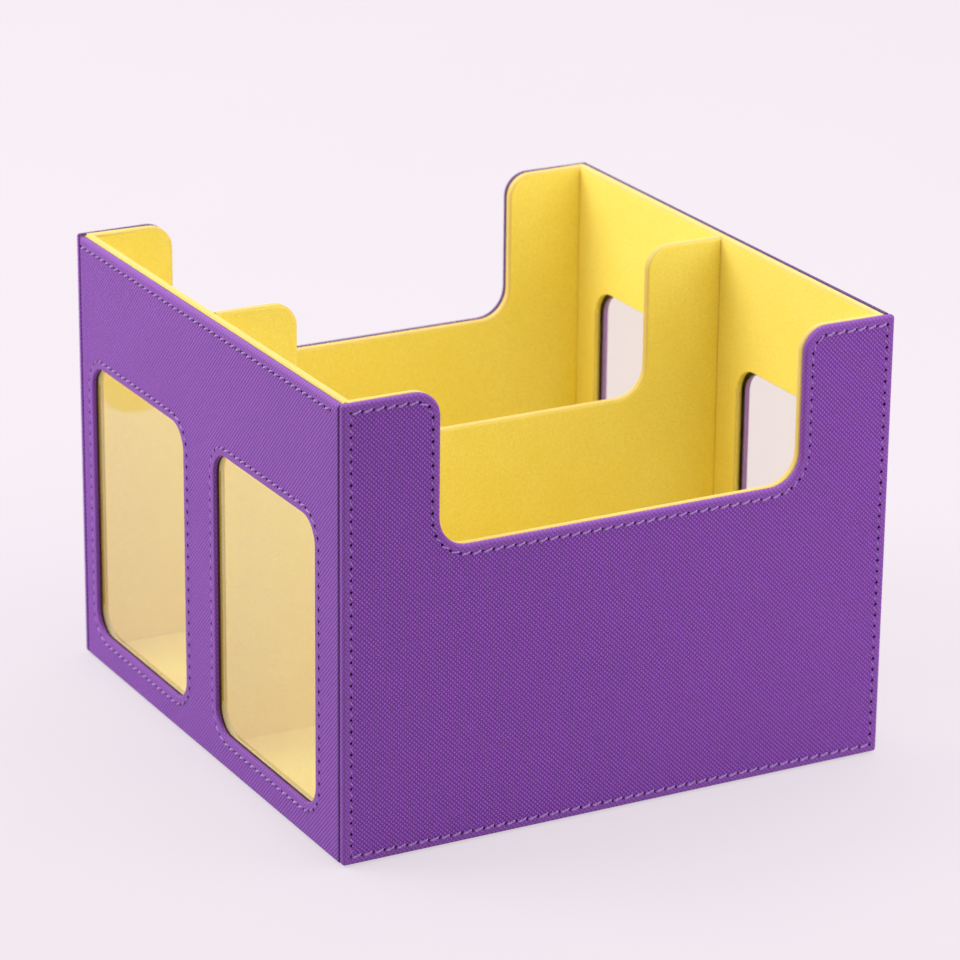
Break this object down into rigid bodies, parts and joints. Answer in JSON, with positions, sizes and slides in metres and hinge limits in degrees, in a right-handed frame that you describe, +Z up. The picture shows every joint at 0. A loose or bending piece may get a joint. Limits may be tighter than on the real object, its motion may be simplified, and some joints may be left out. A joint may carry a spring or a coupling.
{
  "type": "card storage tray",
  "caption": "Open-topped storage tray for trading cards: rows parted by a felt divider, finger-notched side walls, clear windows front and back.",
  "frame": {"origin": "centre of the underside, on the surface that the tray stands on", "axes": "+X to the right along the front wall, +Y to the back wall, +Z up; the front wall faces -Y"},
  "size_m": [0.19, 0.188, 0.145],
  "materials": {
    "leather": "purple cross-hatched PU leather, satin",
    "felt": "yellow short-nap felt, matt",
    "board": "dark grey pressed board, matt",
    "frame_card": "near-black card, matt",
    "film": "clear flexible film, glossy",
    "thread": "light purple sewing thread",
    "underside_sheet": "plain dark purple PU sheet, matt"
  },
  "bodies": {
    "root": {"bottom_cover": "underside_sheet", "base_board": "board", "base_felt": "felt", "front_panel_board": "board", "front_panel_leather": "leather", "front_top_stitching": "thread", "front_liner_board": "board", "front_liner_felt": "felt", "front_left_film_frame": "frame_card", "front_left_film": "film", "front_left_window_stitching": "thread", "front_right_film_frame": "frame_card", "front_right_film": "film", "front_right_window_stitching": "thread", "back_panel_board": "board", "back_panel_leather": "leather", "back_top_stitching": "thread", "back_liner_board": "board", "back_liner_felt": "felt", "back_left_film_frame": "frame_card", "back_left_film": "film", "back_left_window_stitching": "thread", "back_right_film_frame": "frame_card", "back_right_film": "film", "back_right_window_stitching": "thread", "left_panel_board": "board", "left_panel_leather": "leather", "left_panel_stitching": "thread", "left_liner_board": "board", "left_liner_felt": "felt", "right_panel_board": "board", "right_panel_leather": "leather", "right_panel_stitching": "thread", "right_liner_board": "board", "right_liner_felt": "felt", "divider_board": "board", "divider_left_felt": "felt", "divider_right_felt": "felt"}
  },
  "joints": []
}
